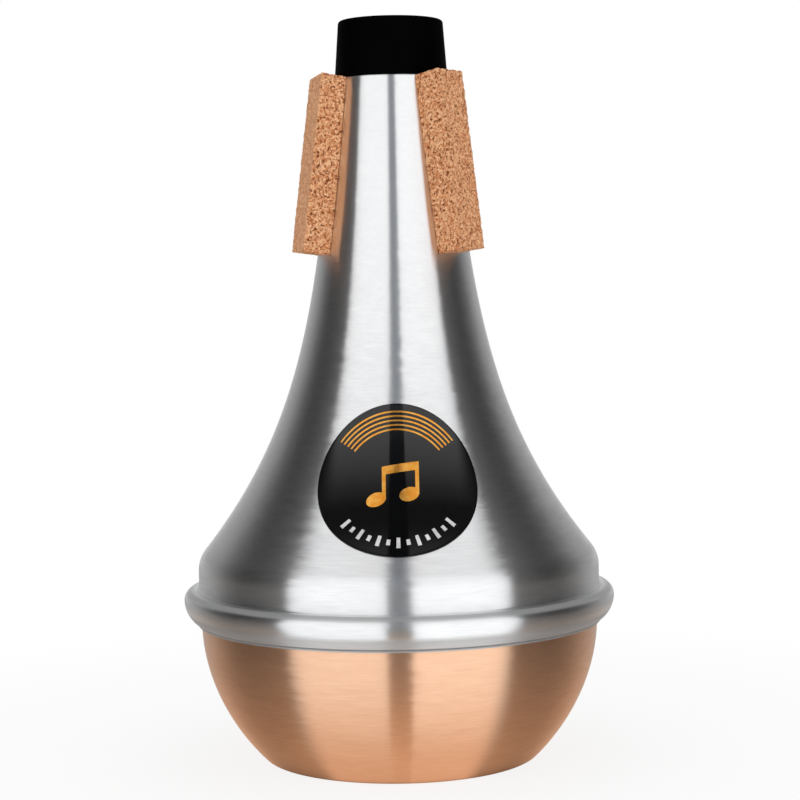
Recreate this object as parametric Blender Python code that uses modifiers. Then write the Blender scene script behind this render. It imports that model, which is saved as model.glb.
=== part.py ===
"""Trumpet straight mute: a spun aluminium body with a rolled bead, a spun copper bottom whose
rim is beaded inside it, a black push-fit end ring, three glued cork strips and a round label.

Metres, +Z up. The origin is the centre of the flat base and the label faces -Y.
"""

import bpy
import bmesh
import numpy as np
from math import acos, atan2, cos, hypot, pi, radians, sin, sqrt, tan
from mathutils import Vector

# Sides of every turned piece, and the clearance between neighbours
STEPS = 48
GAP = 0.0003

# The spun aluminium body. Radii are those of its outer face
HEIGHT = 0.1740
SHEET = 0.0008
NECK_RADIUS = 0.0134
NECK_TAPER = radians(5.26)
SHOULDER_RISE = 0.0068
SHOULDER_FILLET = 0.0075
FLARE_ANGLE = radians(38.5)

# How far the flare's curve follows its end directions, as shares of the flare's height
NECK_PULL = 0.465
FLARE_PULL = 0.274

# The rolled bead, which stands out of the wall, and its lip that curls in to the copper
BEAD_RADIUS = 0.0510
BEAD_PROUD = 0.0035
BEAD_Z = 0.0385
BEAD_UPPER = 0.0030
BEAD_LOWER = 0.00623
BEAD_FILLET = 0.0018
LIP_GAP = 0.00048

# The spun copper bottom, whose wall lies in from the bead's edge
COPPER_SHEET = 0.0006
COPPER_INSET = 0.0040
COPPER_RIM = 0.0015
COPPER_SEAM_FILLET = 0.0005
BASE_RADIUS = 0.0308
BASE_CORNER = 0.0029
BOWL_ANGLE = radians(44.0)
BOWL_PULL_Z = 0.0150
BOWL_PULL = 0.0030

# The end ring, and its spigot inside the neck
RING_HEIGHT = 0.0133
RING_TOP_RADIUS = 0.01235
RING_EDGE = 0.0008
RING_BORE = 0.0095
SPIGOT_LENGTH = 0.0080
SPIGOT_LEAD = 0.0010

# The cork strips, with each one's side, azimuth from the front and lean from upright
CORK_LENGTH = 0.0413
CORK_WIDTH = 0.0088
CORK_DROP = 0.0128
CORK_THICK_TOP = 0.0054
CORK_THICK_FOOT = 0.0061
CORK_ROUNDING = 0.0004
CORKS = (
    ("right", radians(46.5), radians(-2.0)),
    ("left", radians(-69.5), 0.0),
    ("rear", radians(168.5), 0.0),
)

# The contact cement under each cork
CEMENT = 0.0002
CEMENT_MARGIN = 0.0003

# The round label
LABEL_DIAMETER = 0.0372
LABEL_Z = 0.0685
LABEL_THICKNESS = 0.0003

# Worked out from the sizes above
WALL_RADIUS = BEAD_RADIUS - BEAD_PROUD
SHOULDER_Z = BEAD_Z + SHOULDER_RISE
COPPER_RADIUS = BEAD_RADIUS - COPPER_INSET
CORK_TOP_Z = HEIGHT - CORK_DROP
NECK_TOP_Z = HEIGHT - RING_HEIGHT - GAP
NEST = SHEET + GAP
CORK_LIFT = GAP + CEMENT + GAP


def arc(centre, radius, start, end, steps):
    """Points (radius, height) along an arc, with angles from +R towards +Z."""
    angles = np.linspace(start, end, steps + 1)
    return [(centre[0] + radius * cos(a), centre[1] + radius * sin(a)) for a in angles]


def bezier(controls, steps):
    """Points along the cubic Bezier curve of four control points."""
    first, pull_first, pull_last, last = (np.array(point) for point in controls)
    points = []
    for t in np.linspace(0.0, 1.0, steps + 1):
        s = 1.0 - t
        ends = s**3 * first + t**3 * last
        points.append(tuple(ends + 3 * s * t * (s * pull_first + t * pull_last)))
    return points


def flare(steps):
    """The body's outer line from the top of the neck down to the shoulder."""
    foot_radius = WALL_RADIUS - SHOULDER_FILLET * (1 - cos(FLARE_ANGLE))
    foot_z = SHOULDER_Z + SHOULDER_FILLET * sin(FLARE_ANGLE)
    neck_pull = NECK_PULL * (NECK_TOP_Z - foot_z)
    foot_pull = FLARE_PULL * (NECK_TOP_Z - foot_z)
    controls = (
        (NECK_RADIUS, NECK_TOP_Z),
        (NECK_RADIUS + neck_pull * tan(NECK_TAPER), NECK_TOP_Z - neck_pull),
        (foot_radius - foot_pull * tan(FLARE_ANGLE), foot_z + foot_pull),
        (foot_radius, foot_z),
    )
    return bezier(controls, steps)


def shoulder(steps):
    centre = (WALL_RADIUS - SHOULDER_FILLET, SHOULDER_Z)
    return arc(centre, SHOULDER_FILLET, FLARE_ANGLE, 0.0, steps)


def bead(inset, end):
    """The bead's outer line down to an angle below its middle, inset for what nests in it."""
    upper = (BEAD_RADIUS - BEAD_UPPER, BEAD_Z)
    lower = (BEAD_RADIUS - BEAD_LOWER, BEAD_Z)
    out = WALL_RADIUS + BEAD_FILLET - upper[0]
    up = sqrt((BEAD_UPPER + BEAD_FILLET) ** 2 - out**2)
    turn = atan2(up, out)
    fillet = (WALL_RADIUS + BEAD_FILLET, BEAD_Z + up)
    return (
        arc(fillet, BEAD_FILLET + inset, pi, pi + turn, 4)
        + arc(upper, BEAD_UPPER - inset, turn, 0.0, 4)[1:]
        + arc(lower, BEAD_LOWER - inset, 0.0, -end, 5)[1:]
    )


def turned(name, profile, closed=False):
    """A profile of (radius, height) points, outer side top to bottom, turned about Z."""
    bm = bmesh.new()
    verts = [bm.verts.new((radius, 0.0, z)) for radius, z in profile]
    for pair in zip(verts, verts[1:] + verts[:1] if closed else verts[1:]):
        bm.edges.new(pair)
    obj = object_of(name, bm)
    screw = obj.modifiers.new("Turn", "SCREW")
    screw.steps = screw.render_steps = STEPS
    screw.use_merge_vertices = True
    screw.merge_threshold = 0.00001
    return obj


def object_of(name, bm):
    mesh = bpy.data.meshes.new(name)
    bm.to_mesh(mesh)
    bm.free()
    mesh.shade_smooth()
    return bpy.data.objects.new(name, mesh)


def walled(obj, thickness, offset):
    """Gives a surface its wall, inward at offset -1 and outward at 1."""
    wall = obj.modifiers.new("Wall", "SOLIDIFY")
    wall.thickness = thickness
    wall.offset = offset
    wall.use_even_offset = True


def finished(obj, colour, roughness, metallic=0.0):
    """Gives a piece its own material and puts it in the mute's collection."""
    made = bpy.data.materials.new(obj.name)
    made.use_nodes = True
    shader = made.node_tree.nodes["Principled BSDF"]
    shader.inputs["Base Color"].default_value = (*colour, 1.0)
    shader.inputs["Roughness"].default_value = roughness
    shader.inputs["Metallic"].default_value = metallic
    made.diffuse_color = (*colour, 1.0)
    obj.data.materials.append(made)
    pieces.objects.link(obj)


def make_body():
    lip_edge = COPPER_RADIUS + LIP_GAP - (BEAD_RADIUS - BEAD_LOWER)
    lip = acos(lip_edge / (BEAD_LOWER - SHEET))
    body = turned("aluminium_body", flare(13) + shoulder(4)[1:] + bead(0.0, lip))
    walled(body, SHEET, -1.0)
    finished(body, (0.80, 0.80, 0.81), 0.28, 1.0)


def make_bottom():
    """The copper's bead follows the aluminium's, then meets the dish in a small fillet."""
    reach = BEAD_LOWER - NEST + COPPER_SEAM_FILLET
    out = COPPER_RADIUS + COPPER_SEAM_FILLET - (BEAD_RADIUS - BEAD_LOWER)
    seam = atan2(sqrt(reach**2 - out**2), out)
    seam_z = BEAD_Z - reach * sin(seam)
    beaded = bead(NEST, seam)
    rim = (beaded[0][0], beaded[0][1] + COPPER_RIM)
    fillet_centre = (COPPER_RADIUS + COPPER_SEAM_FILLET, seam_z)
    fillet = arc(fillet_centre, COPPER_SEAM_FILLET, pi - seam, pi, 2)
    corner = arc((BASE_RADIUS, BASE_CORNER), BASE_CORNER, BOWL_ANGLE - pi / 2, -pi / 2, 3)
    bowl_end = corner[0]
    bowl_pull = (
        bowl_end[0] + BOWL_PULL * cos(BOWL_ANGLE),
        bowl_end[1] + BOWL_PULL * sin(BOWL_ANGLE),
    )
    bowl = bezier((fillet[-1], (COPPER_RADIUS, BOWL_PULL_Z), bowl_pull, bowl_end), 8)
    profile = [rim] + beaded + fillet[1:] + bowl[1:] + corner[1:] + [(0.0, 0.0)]
    bottom = turned("copper_bottom", profile)
    walled(bottom, COPPER_SHEET, -1.0)
    finished(bottom, (0.80, 0.50, 0.36), 0.26, 1.0)


def make_ring():
    """Heights are above the ring's seat on the neck, where the object is placed."""
    spigot = NECK_RADIUS - SHEET / cos(NECK_TAPER) - GAP
    edge_centre = (RING_TOP_RADIUS - RING_EDGE, RING_HEIGHT - RING_EDGE)
    profile = arc(edge_centre, RING_EDGE, pi / 2, 0.0, 3) + [
        (NECK_RADIUS, 0.0),
        (spigot, 0.0),
        (spigot, SPIGOT_LEAD - SPIGOT_LENGTH),
        (spigot - SPIGOT_LEAD / 2, -SPIGOT_LENGTH),
        (RING_BORE, -SPIGOT_LENGTH),
        (RING_BORE, RING_HEIGHT - RING_EDGE / 2),
        (RING_BORE + RING_EDGE / 2, RING_HEIGHT),
    ]
    ring = turned("nose_ring", profile, closed=True)
    ring.location.z = NECK_TOP_Z + GAP
    finished(ring, (0.012, 0.012, 0.012), 0.6)


# The flare and the shoulder as one fine line, for what lies on them
FLARE_LINE = np.array(flare(120) + shoulder(20)[1:])
FLARE_LENGTHS = np.append(0.0, np.cumsum(np.hypot(*np.diff(FLARE_LINE, axis=0).T)))


def flare_radius(z):
    return float(np.interp(-z, -FLARE_LINE[:, 1], FLARE_LINE[:, 0]))


def on_flare(length):
    """Radius, height and outward normal at a length along the flare from the neck's top."""
    near = (length - GAP, length, length + GAP)
    radii, heights = (np.interp(near, FLARE_LENGTHS, line) for line in FLARE_LINE.T)
    normal = Vector((heights[0] - heights[2], radii[2] - radii[0])).normalized()
    return float(radii[1]), float(heights[1]), normal


def wrapped(flat, azimuth, centre_z, lean, lift):
    """Where a point of a flat sheet lies once the sheet is wrapped round the flare.

    The sheet is rolled on the cone that touches the flare at the sheet's centre.
    """
    across = flat.x * cos(lean) + flat.y * sin(lean)
    along = flat.y * cos(lean) - flat.x * sin(lean)
    centre = float(np.interp(-centre_z, -FLARE_LINE[:, 1], FLARE_LENGTHS))
    radius, _, normal = on_flare(centre)
    apex = radius / normal[1]
    reach = hypot(across, apex - along)
    radius, z, normal = on_flare(centre + reach - apex)
    angle = azimuth + reach * atan2(across, apex - along) / radius
    out = radius + lift * normal[0]
    return Vector((out * sin(angle), -out * cos(angle), z + lift * normal[1]))


def make_sheet(name, bm, placing, lift, thickness):
    """A thin sheet that lies on the flare, from a flat mesh in metres."""
    for vert in bm.verts:
        vert.co = wrapped(vert.co.copy(), *placing, lift)
    sheet = object_of(name, bm)
    walled(sheet, thickness, 1.0)
    return sheet


def make_label():
    """A square grid squeezed to a disc, so that its faces stay even."""
    bm = bmesh.new()
    bmesh.ops.create_grid(bm, x_segments=10, y_segments=10, size=1.0)
    for vert in bm.verts:
        x, y = vert.co.x, vert.co.y
        vert.co.x = x * sqrt(1 - y * y / 2) * LABEL_DIAMETER / 2
        vert.co.y = y * sqrt(1 - x * x / 2) * LABEL_DIAMETER / 2
    label = make_sheet("round_label", bm, (0.0, LABEL_Z, 0.0), GAP, LABEL_THICKNESS)
    finished(label, (0.010, 0.010, 0.011), 0.2)


def make_cork_seat():
    """The cutter for the corks' backs: all that lies inside the neck's face and the cement."""
    profile = [(0.0, HEIGHT), (RING_TOP_RADIUS + CORK_LIFT, HEIGHT)]
    for point, length in zip(FLARE_LINE[::8], FLARE_LENGTHS[::8]):
        normal = on_flare(length)[2]
        profile.append((point[0] + CORK_LIFT * normal[0], point[1] + CORK_LIFT * normal[1]))
    profile.append((0.0, profile[-1][1]))
    seat = turned("cork_seat", profile)
    seat.hide_render = True
    seat.display_type = "WIRE"
    cutters.objects.link(seat)
    return seat


def make_cork(side, azimuth, lean, seat):
    """A block with a flat outer face, whose back is cut to the neck, and its cement."""
    foot_z = CORK_TOP_Z - CORK_LENGTH
    top_radius = flare_radius(CORK_TOP_Z) + CORK_THICK_TOP
    foot_radius = flare_radius(foot_z) + CORK_THICK_FOOT
    face_radius = (top_radius + foot_radius) / 2
    face_z = (CORK_TOP_Z + foot_z) / 2
    tilt = atan2(foot_radius - top_radius, CORK_LENGTH)

    # The block's Y runs inward from its outer face to near the axis, where the seat cuts it.
    bm = bmesh.new()
    bmesh.ops.create_cube(bm, size=1.0)
    for vert in bm.verts:
        vert.co.x *= CORK_WIDTH
        vert.co.y = (vert.co.y + 0.5) * top_radius
        vert.co.z *= CORK_LENGTH
    cork = object_of("cork_" + side, bm)
    cork.location = (face_radius * sin(azimuth), -face_radius * cos(azimuth), face_z)
    cork.rotation_mode = "YXZ"
    cork.rotation_euler = (-tilt, lean, azimuth)
    rounding = cork.modifiers.new("Rounding", "BEVEL")
    rounding.width = CORK_ROUNDING
    rounding.segments = 2
    shaping = cork.modifiers.new("Back", "BOOLEAN")
    shaping.operation = "DIFFERENCE"
    shaping.solver = "EXACT"
    shaping.object = seat
    cork.data.shade_flat()
    finished(cork, (0.60, 0.27, 0.13), 0.9)

    back_z = face_z - (CORK_THICK_TOP + CORK_THICK_FOOT) / 2 * sin(tilt)
    bm = bmesh.new()
    bmesh.ops.create_grid(bm, x_segments=4, y_segments=8, size=1.0)
    for vert in bm.verts:
        vert.co.x *= CORK_WIDTH / 2 - CEMENT_MARGIN
        vert.co.y *= CORK_LENGTH / 2 - CEMENT_MARGIN
    cement = make_sheet("cork_cement_" + side, bm, (azimuth, back_z, lean), GAP, CEMENT)
    finished(cement, (0.30, 0.16, 0.06), 0.5)


for old in list(bpy.data.objects):
    bpy.data.objects.remove(old)
pieces = bpy.data.collections.new("trumpet_straight_mute")
cutters = bpy.data.collections.new("cutters")
bpy.context.scene.collection.children.link(pieces)
bpy.context.scene.collection.children.link(cutters)

make_body()
make_bottom()
make_ring()
make_label()
cork_seat = make_cork_seat()
for cork_side, cork_azimuth, cork_lean in CORKS:
    make_cork(cork_side, cork_azimuth, cork_lean, cork_seat)

mute = bpy.data.objects.new("mute", None)
pieces.objects.link(mute)
for piece in pieces.objects:
    if piece is not mute:
        piece.parent = mute
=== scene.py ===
from math import acos, atan2, cos, hypot, pi, radians, sin, sqrt, tan

import bmesh
import bpy
import numpy as np
from mathutils import Euler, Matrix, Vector
from mathutils.geometry import delaunay_2d_cdt


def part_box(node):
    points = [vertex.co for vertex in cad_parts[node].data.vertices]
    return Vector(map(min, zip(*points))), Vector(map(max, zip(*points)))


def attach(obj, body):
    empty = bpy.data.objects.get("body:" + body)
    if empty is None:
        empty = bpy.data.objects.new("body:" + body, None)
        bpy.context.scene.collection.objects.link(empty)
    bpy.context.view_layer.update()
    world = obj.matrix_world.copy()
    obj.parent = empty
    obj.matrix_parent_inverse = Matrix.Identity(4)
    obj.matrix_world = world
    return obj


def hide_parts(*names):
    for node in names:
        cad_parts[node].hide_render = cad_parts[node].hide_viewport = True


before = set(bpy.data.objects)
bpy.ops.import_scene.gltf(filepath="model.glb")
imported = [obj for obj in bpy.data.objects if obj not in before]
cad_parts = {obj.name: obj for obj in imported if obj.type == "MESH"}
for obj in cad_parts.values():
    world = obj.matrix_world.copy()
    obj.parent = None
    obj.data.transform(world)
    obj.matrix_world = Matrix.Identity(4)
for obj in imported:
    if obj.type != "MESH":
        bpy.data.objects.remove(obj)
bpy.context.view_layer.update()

# The body. One aluminium disc is spun over a former into the neck, the flare, the shoulder and the
# wall, and a bead is rolled into it at the foot. The face keeps the round lines of its last polish.
SHEET = 0.0008
NECK_RADIUS = 0.0134
NECK_TAPER = radians(5.26)
NECK_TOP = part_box("nose_ring")[1].z - 0.0136
FLARE_ANGLE = radians(38.5)
NECK_PULL = 0.465
FLARE_PULL = 0.274
BEAD_RADIUS = 0.0510
BEAD_PROUD = 0.0035
BEAD_HEIGHT = 0.0385
BEAD_UPPER = 0.0024
BEAD_LOWER = 0.00623
BEAD_FILLET = 0.0004
SHOULDER_RISE = 0.0068
SHOULDER_FILLET = 0.0075
COPPER_INSET = 0.0040
LIP_GAP = 0.00048
LIP_DROP = 0.00040
EDGE = 0.0002
SIDES = 224
WELD = 0.000004
ALUMINIUM_LIGHT = (0.955, 0.960, 0.965, 1.0)
ALUMINIUM_DARK = (0.80, 0.805, 0.815, 1.0)
BRUSH_LINES = 2400.0
BRUSH_STREAKS = 9.0
BLOTCHES = 60.0
PATCHES = 0.015
# Roughness, sideways lean and contrast of the brushing where it is finest and where it is coarsest,
# and the heights between which the face is rougher and between which its lines stand out
ALUMINIUM_FINEST = (0.295, 0.04, 0.9)
ALUMINIUM_COARSEST = (0.32, 0.12, 2.1)
COARSE_HEIGHTS = (0.046, 0.054, 0.085, 0.130)
LINED_HEIGHTS = (0.029, 0.031, 0.085, 0.130)
CREASE_PAINTED_SHADE = (0.16, 0.165, 0.17, 1.0)
UNDER_BEAD_PAINTED_SHADE = (0.335, 0.33, 0.325, 1.0)
LIP_PAINTED_SHADOW = (0.050, 0.050, 0.055, 1.0)
# Painted shade: a matte grey painted in the crease over the bead and under the bead, and a dark painted
# shadow line over the lip: the heights between which it comes, stays and goes, the share of the metal
# it hides, its colour and how much rougher the metal is there
PAINTED_SHADE_BANDS = (
    (0.0396, 0.0403, 0.0407, 0.0409, 0.60, CREASE_PAINTED_SHADE, 0.0),
    (0.0318, 0.0324, 0.0352, 0.0364, 0.28, UNDER_BEAD_PAINTED_SHADE, 0.30),
    (0.03300, 0.03310, 0.03335, 0.03360, 0.65, LIP_PAINTED_SHADOW, 0.0),
)

WALL_RADIUS = BEAD_RADIUS - BEAD_PROUD
SHOULDER_HEIGHT = BEAD_HEIGHT + SHOULDER_RISE
COPPER_RADIUS = BEAD_RADIUS - COPPER_INSET


def arc(centre, radius, start, end, steps):
    """Points (radius, height) along an arc, with angles from outward towards up."""
    angles = np.linspace(start, end, steps + 1)
    return [(centre[0] + radius * cos(a), centre[1] + radius * sin(a)) for a in angles]


def bezier(controls, steps):
    """Points along the cubic Bezier curve of four control points."""
    first, pull_first, pull_last, last = (np.array(point) for point in controls)
    points = []
    for t in np.linspace(0.0, 1.0, steps + 1):
        s = 1.0 - t
        ends = s**3 * first + t**3 * last
        points.append(tuple(ends + 3 * s * t * (s * pull_first + t * pull_last)))
    return points


def flare_line(steps):
    """The outer line of the neck and the flare, from the neck's top down to the shoulder."""
    foot_radius = WALL_RADIUS - SHOULDER_FILLET * (1 - cos(FLARE_ANGLE))
    foot = SHOULDER_HEIGHT + SHOULDER_FILLET * sin(FLARE_ANGLE)
    neck_pull = NECK_PULL * (NECK_TOP - foot)
    foot_pull = FLARE_PULL * (NECK_TOP - foot)
    controls = (
        (NECK_RADIUS, NECK_TOP),
        (NECK_RADIUS + neck_pull * tan(NECK_TAPER), NECK_TOP - neck_pull),
        (foot_radius - foot_pull * tan(FLARE_ANGLE), foot + foot_pull),
        (foot_radius, foot),
    )
    return bezier(controls, steps)


def bead_line(inset, end):
    """The bead's outer line down to an angle below its middle, inset for what nests in it."""
    upper = (BEAD_RADIUS - BEAD_UPPER, BEAD_HEIGHT)
    lower = (BEAD_RADIUS - BEAD_LOWER, BEAD_HEIGHT)
    out = WALL_RADIUS + BEAD_FILLET - upper[0]
    up = sqrt((BEAD_UPPER + BEAD_FILLET) ** 2 - out**2)
    turn = atan2(up, out)
    fillet = (WALL_RADIUS + BEAD_FILLET, BEAD_HEIGHT + up)
    return (
        arc(fillet, BEAD_FILLET + inset, pi, pi + turn, 10)
        + arc(upper, BEAD_UPPER - inset, turn, 0.0, 14)[1:]
        + arc(lower, BEAD_LOWER - inset, 0.0, -end, 20)[1:]
    )


def along_and_inward(line):
    """The directions along an outer line and into its sheet, at each point."""
    along = np.gradient(line, axis=0)
    along /= np.hypot(*along.T)[:, None]
    return along, np.stack([along[:, 1], -along[:, 0]], axis=1)


def walled(line, thickness, lip):
    """A closed profile from an outer line: down along it, round its lip and back up inside."""
    line = np.array(line)
    along, inward = along_and_inward(line)
    round_off = min(EDGE, thickness / 3)
    outer = line.copy()
    inner = line + thickness * inward
    outer[0] += round_off * along[0]
    inner[0] += round_off * along[0]
    top_edge = [line[0] + share * thickness * inward[0] for share in (0.25, 0.75)]
    loop = list(outer) + lip + list(inner[::-1]) + top_edge[::-1]
    return loop + loop[:1]


class Nodes:
    """Adds nodes to a tree, each with its settings and with what feeds its inputs."""

    def __init__(self, tree):
        self.tree = tree

    def feed(self, node, feeds):
        """Sets inputs, by name or number, to a value, or links a socket to them."""
        for name, value in feeds.items():
            if isinstance(value, bpy.types.NodeSocket):
                self.tree.links.new(value, node.inputs[name])
            else:
                node.inputs[name].default_value = value

    def add(self, kind, feeds, **settings):
        """The outputs of a new node."""
        node = self.tree.nodes.new(kind)
        for name, value in settings.items():
            setattr(node, name, value)
        self.feed(node, feeds)
        return node.outputs

    def maths(self, operation, *values):
        """A sum of numbers."""
        return self.add("ShaderNodeMath", dict(enumerate(values)), operation=operation)[0]

    def vectors(self, operation, *values):
        """A sum of vectors."""
        return self.add("ShaderNodeVectorMath", dict(enumerate(values)), operation=operation)[0]

    def scaled(self, vector, factor):
        """A vector made longer or shorter."""
        return self.add("ShaderNodeVectorMath", {0: vector, "Scale": factor}, operation="SCALE")[0]

    def parts(self, vector):
        """The parts X, Y and Z of a place, a direction or a colour."""
        return self.add("ShaderNodeSeparateXYZ", {0: vector})

    def joined(self, **parts):
        """A vector from some of its parts X, Y and Z."""
        return self.add("ShaderNodeCombineXYZ", parts)[0]


def new_group(name, kind, inputs, outputs):
    """A node group with named inputs and outputs, and what it is given."""
    tree = bpy.data.node_groups.new(name, kind)
    for side, sockets in (("INPUT", inputs), ("OUTPUT", outputs)):
        for socket, value in sockets.items():
            tree.interface.new_socket(socket, in_out=side, socket_type="NodeSocket" + value)
    nodes = Nodes(tree)
    return nodes, nodes.add("NodeGroupInput", {})


def stored_value(nodes, name):
    """A value that is stored on the mesh under a name."""
    return nodes.add("GeometryNodeInputNamedAttribute", {"Name": name}, data_type="FLOAT")["Attribute"]


def give_out(nodes, geometry, finish):
    """The end of a tree: its geometry made real and dressed in a material."""
    real = nodes.add("GeometryNodeRealizeInstances", {0: geometry})[0]
    dressed = nodes.add("GeometryNodeSetMaterial", {"Geometry": real, "Material": finish})[0]
    nodes.add("NodeGroupOutput", {0: dressed})


def turning_tree():
    """Node tree that turns a profile about the axis, one ring of corners for each of its points."""
    nodes, given = new_group(
        "turn about the axis", "GeometryNodeTree",
        {"Profile": "Geometry", "Sides": "Int", "Weld distance": "Float", "Finish": "Material"},
        {"Turned": "Geometry"},
    )
    add = nodes.add
    maths = nodes.maths
    profile = given["Profile"]
    count = add("GeometryNodeAttributeDomainSize", {0: profile}, component="MESH")["Point Count"]
    columns = maths("ADD", given["Sides"], 1.0)
    grid = add("GeometryNodeMeshGrid", {"Vertices X": columns, "Vertices Y": count})["Mesh"]
    place = add("GeometryNodeInputPosition", {})[0]
    spot = nodes.parts(place)
    last = maths("SUBTRACT", count, 1.0)
    row = maths("ROUND", maths("MULTIPLY", maths("ADD", spot["Y"], 0.5), last))
    angle = maths("MULTIPLY", spot["X"], 2 * pi)

    def at_row(value, kind):
        """What the profile says at the row's own point."""
        feeds = {"Geometry": profile, "Index": row, "Value": value}
        return add("GeometryNodeSampleIndex", feeds, data_type=kind)[0]

    line = nodes.parts(at_row(place, "FLOAT_VECTOR"))
    right = maths("MULTIPLY", line["X"], maths("SINE", angle))
    back = maths("MULTIPLY", line["X"], maths("COSINE", angle))
    turned = nodes.joined(X=right, Y=maths("MULTIPLY", back, -1.0), Z=line["Z"])
    length = at_row(stored_value(nodes, "along"), "FLOAT")
    feeds = {"Geometry": grid, "Name": "along", "Value": length}
    kept = add("GeometryNodeStoreNamedAttribute", feeds, data_type="FLOAT", domain="POINT")
    moved = add("GeometryNodeSetPosition", {"Geometry": kept[0], "Position": turned})
    near = given["Weld distance"]
    welded = add("GeometryNodeMergeByDistance", {"Geometry": moved[0], "Distance": near})
    smooth = add("GeometryNodeSetShadeSmooth", {"Geometry": welded[0]})
    give_out(nodes, smooth[0], given["Finish"])
    return nodes.tree


TURNING = turning_tree()


def placed(name, data):
    """A new object in the scene."""
    piece = bpy.data.objects.new(name, data)
    bpy.context.scene.collection.objects.link(piece)
    return piece


def made_by(tree, name, mesh, values):
    """The plain mesh that a node tree makes of a starting mesh, with values for its named inputs."""
    start = placed(name + "_start", mesh)
    modifier = start.modifiers.new("Shape", "NODES")
    modifier.node_group = tree
    for socket in tree.interface.items_tree:
        if socket.in_out == "INPUT" and socket.name in values:
            modifier[socket.identifier] = values[socket.name]
    graph = bpy.context.evaluated_depsgraph_get()
    result = bpy.data.meshes.new_from_object(start.evaluated_get(graph))
    start.modifiers.remove(modifier)
    bpy.data.objects.remove(start)
    result.name = name
    return placed(name, result)


def store(mesh, name, values):
    """Keeps a value for each corner of a mesh, for its node tree or its material."""
    mesh.attributes.new(name, "FLOAT", "POINT").data.foreach_set("value", values)


def turned_piece(name, profile, finish, sharp):
    """A profile that runs down the outer side of a piece, turned into a closed mesh."""
    points = np.array(profile)[::-1]
    lengths = np.append(0.0, np.cumsum(np.hypot(*np.diff(points, axis=0).T)))
    mesh = bpy.data.meshes.new(name + "_profile")
    edges = [(i, i + 1) for i in range(len(points) - 1)]
    mesh.from_pydata([(r, 0.0, z) for r, z in points], edges, [])
    store(mesh, "along", lengths)
    values = {"Sides": SIDES, "Weld distance": WELD, "Finish": finish}
    piece = made_by(TURNING, name, mesh, values)
    piece.data.set_sharp_from_angle(angle=sharp)
    return piece


def lines_group():
    """Shader group for a turned face: fine streaks that run round the axis, and the small
    sideways lean that they give the surface, which frays the edges of what it reflects."""
    nodes, given = new_group(
        "round brushing", "ShaderNodeTree",
        dict.fromkeys(("Along", "Lines per metre", "Streaks per turn", "Lean", "Blotches"), "Float"),
        {"Streaks": "Float", "Patches": "Float", "Normal": "Vector"},
    )
    maths = nodes.maths
    vectors = nodes.vectors
    scaled = nodes.scaled

    def noise(place, detail):
        feeds = {"Vector": place, "Scale": 1.0, "Detail": detail, "Roughness": 0.6}
        return nodes.add("ShaderNodeTexNoise", feeds)["Fac"]

    spot = nodes.add("ShaderNodeTexCoord", {})["Object"]
    flat = nodes.parts(spot)
    out = vectors("NORMALIZE", nodes.joined(X=flat["X"], Y=flat["Y"]))
    facing = nodes.parts(out)
    across = nodes.joined(X=maths("MULTIPLY", facing["Y"], -1.0), Y=facing["X"])
    height = nodes.joined(Z=maths("MULTIPLY", given["Along"], given["Lines per metre"]))
    round_it = scaled(out, given["Streaks per turn"])
    fine = noise(vectors("ADD", round_it, height), 3.0)
    broad = noise(vectors("ADD", scaled(round_it, 0.45), scaled(height, 0.22)), 2.0)
    streaks = maths("ADD", maths("MULTIPLY", fine, 0.6), maths("MULTIPLY", broad, 0.4))
    lean = maths("MULTIPLY", maths("SUBTRACT", streaks, 0.5), given["Lean"])
    upright = nodes.add("ShaderNodeNewGeometry", {})["Normal"]
    leaned = vectors("NORMALIZE", vectors("ADD", upright, scaled(across, lean)))
    patches = noise(scaled(spot, given["Blotches"]), 3.0)
    nodes.add("NodeGroupOutput", {"Streaks": streaks, "Patches": patches, "Normal": leaned})
    return nodes.tree


ROUND_BRUSHING = lines_group()


class Finish(Nodes):
    """A material in the making: its shader, and ways to add what feeds it."""

    def __init__(self, name, roughness, metallic=0.0):
        self.material = bpy.data.materials.new(name)
        self.material.use_nodes = True
        super().__init__(self.material.node_tree)
        self.shader = self.tree.nodes["Principled BSDF"]
        self.spot = self.add("ShaderNodeTexCoord", {})["Object"]
        self.dress({"Roughness": roughness, "Metallic": metallic})

    def dress(self, feeds):
        """Sets the shader's inputs."""
        self.feed(self.shader, feeds)

    def texture(self, kind, **feeds):
        """The outputs of a texture laid through the piece."""
        return self.add(kind, {"Vector": self.spot, **feeds})

    def noise(self, scale, detail):
        """A cloudy value laid through the piece."""
        return self.texture("ShaderNodeTexNoise", Scale=scale, Detail=detail)["Fac"]

    def stored(self, name):
        """A value that is stored on the mesh under a name."""
        return self.add("ShaderNodeAttribute", {}, attribute_name=name)["Fac"]

    def ranged(self, value, low, high, to_low=0.0, to_high=1.0):
        """A value brought from one range to another, and held inside it."""
        bounds = {"From Min": low, "From Max": high, "To Min": to_low, "To Max": to_high}
        return self.add("ShaderNodeMapRange", {"Value": value, **bounds})["Result"]

    def blended(self, factor, first, last):
        """A colour that goes from first to last with a factor."""
        return self.add("ShaderNodeMix", {"Factor": factor, 6: first, 7: last}, data_type="RGBA")[2]

    def bumped(self, height, strength, distance):
        """The normals of a face with a bump all over it."""
        feeds = {"Height": height, "Strength": strength, "Distance": distance}
        return self.add("ShaderNodeBump", feeds)[0]

    def cloud(self, noise, tones, rough, bump):
        """Varies the colour and the gloss with a cloudy noise, over a faint bump of the same noise."""
        clouds = self.noise(*noise)
        self.dress({
            "Base Color": self.blended(self.ranged(clouds, 0.35, 0.65), *tones),
            "Roughness": self.ranged(clouds, 0.3, 0.7, *rough),
            "Normal": self.bumped(clouds, *bump),
        })

    def spread_upright(self, amount):
        """Makes a gloss spread up and down, as lines that run round the axis do."""
        tangent = self.add("ShaderNodeTangent", {}, direction_type="RADIAL", axis="Z")[0]
        self.dress({"Anisotropic": amount, "Anisotropic Rotation": 0.25, "Tangent": tangent})


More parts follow.
